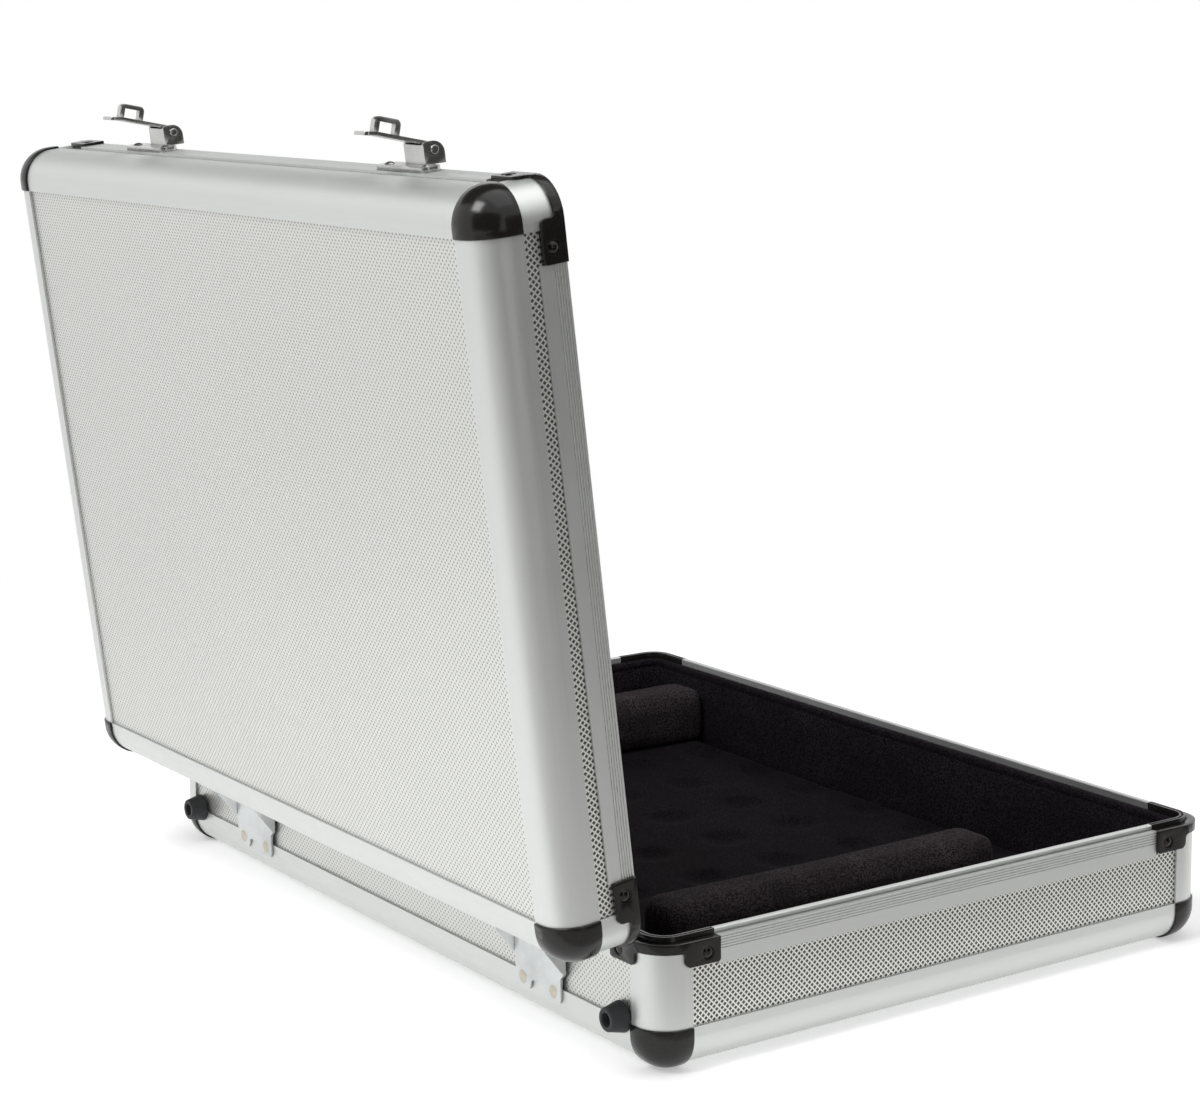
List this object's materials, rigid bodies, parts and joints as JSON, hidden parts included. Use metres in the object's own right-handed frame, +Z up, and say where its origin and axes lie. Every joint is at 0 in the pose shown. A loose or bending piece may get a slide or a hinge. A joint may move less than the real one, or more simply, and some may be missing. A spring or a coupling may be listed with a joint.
{
  "type": "laptop hard case",
  "caption": "Aluminium-framed laptop hard case standing open, with rounded plastic corners, hasp latches, spring-bolt locks and a padded inside",
  "frame": {"origin": "on the surface that the case stands on, below the middle of the base", "axes": "X along the hinge line, to the right as seen from the front; Y from the latch side to the hinge side; Z up"},
  "size_m": [0.4232, 0.3858, 0.3724],
  "materials": {
    "aluminium_extrusion": "satin anodised",
    "panel_sheet": "embossed with small raised diamonds, satin",
    "panel_laminate": "embossed sheet on a fibre board, satin",
    "fibre_board": "raw hardboard",
    "corner_plastic": "polished black",
    "foot_rubber": "matt black",
    "chromed_steel": "bright plated",
    "dark_steel": "blackened",
    "spring_steel": "drawn wire",
    "lining_fabric": "black lining cloth on foam",
    "padding_fabric": "black cloth over foam",
    "handle_plastic": "moulded black, fine grain"
  },
  "bodies": {
    "base": {"base_ball_corners": "corner_plastic", "base_corner_columns": "aluminium_extrusion", "base_edge_front": "aluminium_extrusion", "base_edge_left": "aluminium_extrusion", "base_edge_rear": "aluminium_extrusion", "base_edge_right": "aluminium_extrusion", "base_face_board": "fibre_board", "base_face_skin": "panel_sheet", "base_hinge_rivets": "chromed_steel", "base_rim_corners": "corner_plastic", "base_rim_long": "aluminium_extrusion", "base_rim_rivets": "dark_steel", "base_rim_short": "aluminium_extrusion", "base_wall_front": "panel_laminate", "base_wall_left": "panel_laminate", "base_wall_lining": "lining_fabric", "base_wall_rear": "panel_laminate", "base_wall_right": "panel_laminate", "egg_crate_pad": "padding_fabric", "foot_screws": "dark_steel", "front_rivets": "chromed_steel", "handle_brackets": "chromed_steel", "handle_pins": "chromed_steel", "hinge_base_leaves": "chromed_steel", "hinge_pins": "chromed_steel", "lock_case_left": "chromed_steel", "lock_case_right": "chromed_steel", "padded_dividers": "padding_fabric", "rubber_feet": "foot_rubber", "lock_spring_left": "spring_steel", "lock_spring_right": "spring_steel"},
    "lid": {"hinge_lid_leaves": "chromed_steel", "latch_brackets": "chromed_steel", "latch_pins": "chromed_steel", "latch_screws": "chromed_steel", "lid_ball_corners": "corner_plastic", "lid_corner_columns": "aluminium_extrusion", "lid_edge_front": "aluminium_extrusion", "lid_edge_left": "aluminium_extrusion", "lid_edge_rear": "aluminium_extrusion", "lid_edge_right": "aluminium_extrusion", "lid_face_board": "fibre_board", "lid_face_pad": "padding_fabric", "lid_face_skin": "panel_sheet", "lid_hinge_rivets": "chromed_steel", "lid_rim_corners": "corner_plastic", "lid_rim_long": "aluminium_extrusion", "lid_rim_rivets": "dark_steel", "lid_rim_short": "aluminium_extrusion", "lid_wall_front": "panel_laminate", "lid_wall_left": "panel_laminate", "lid_wall_lining": "lining_fabric", "lid_wall_rear": "panel_laminate", "lid_wall_right": "panel_laminate"},
    "hasp_left": {"hasp_lever_left": "chromed_steel"},
    "hasp_right": {"hasp_lever_right": "chromed_steel"},
    "slide_left": {"lock_slide_left": "chromed_steel"},
    "slide_right": {"lock_slide_right": "chromed_steel"},
    "handle": {"handle_grip": "handle_plastic"}
  },
  "joints": [
    {"name": "lid_hinge", "type": "hinge", "parent": "base", "child": "lid", "pos_m": [0, 0.1527, 0.05245], "axis": [1, 0, 0], "range_deg": [0, 96.3]},
    {"name": "hasp_left_pivot", "type": "hinge", "parent": "lid", "child": "hasp_left", "pos_m": [-0.1144, 0.18712, 0.35923], "axis": [1, 0, 0], "range_deg": [0, 162.5]},
    {"name": "hasp_right_pivot", "type": "hinge", "parent": "lid", "child": "hasp_right", "pos_m": [0.1144, 0.18712, 0.35923], "axis": [1, 0, 0], "range_deg": [0, 162.5]},
    {"name": "lock_slide_left_travel", "type": "slide", "parent": "base", "child": "slide_left", "axis": [-1, 0, 0], "range_m": [0, 0.0046], "stiffness_N_per_m": 120, "springref_m": -0.003, "deforming": ["lock_spring_left"]},
    {"name": "lock_slide_right_travel", "type": "slide", "parent": "base", "child": "slide_right", "axis": [-1, 0, 0], "range_m": [0, 0.0046], "stiffness_N_per_m": 120, "springref_m": -0.003, "deforming": ["lock_spring_right"]},
    {"name": "handle_swing", "type": "hinge", "parent": "base", "child": "handle", "pos_m": [0, -0.1566, 0.0342], "axis": [-1, 0, 0], "range_deg": [-2, 100]}
  ]
}
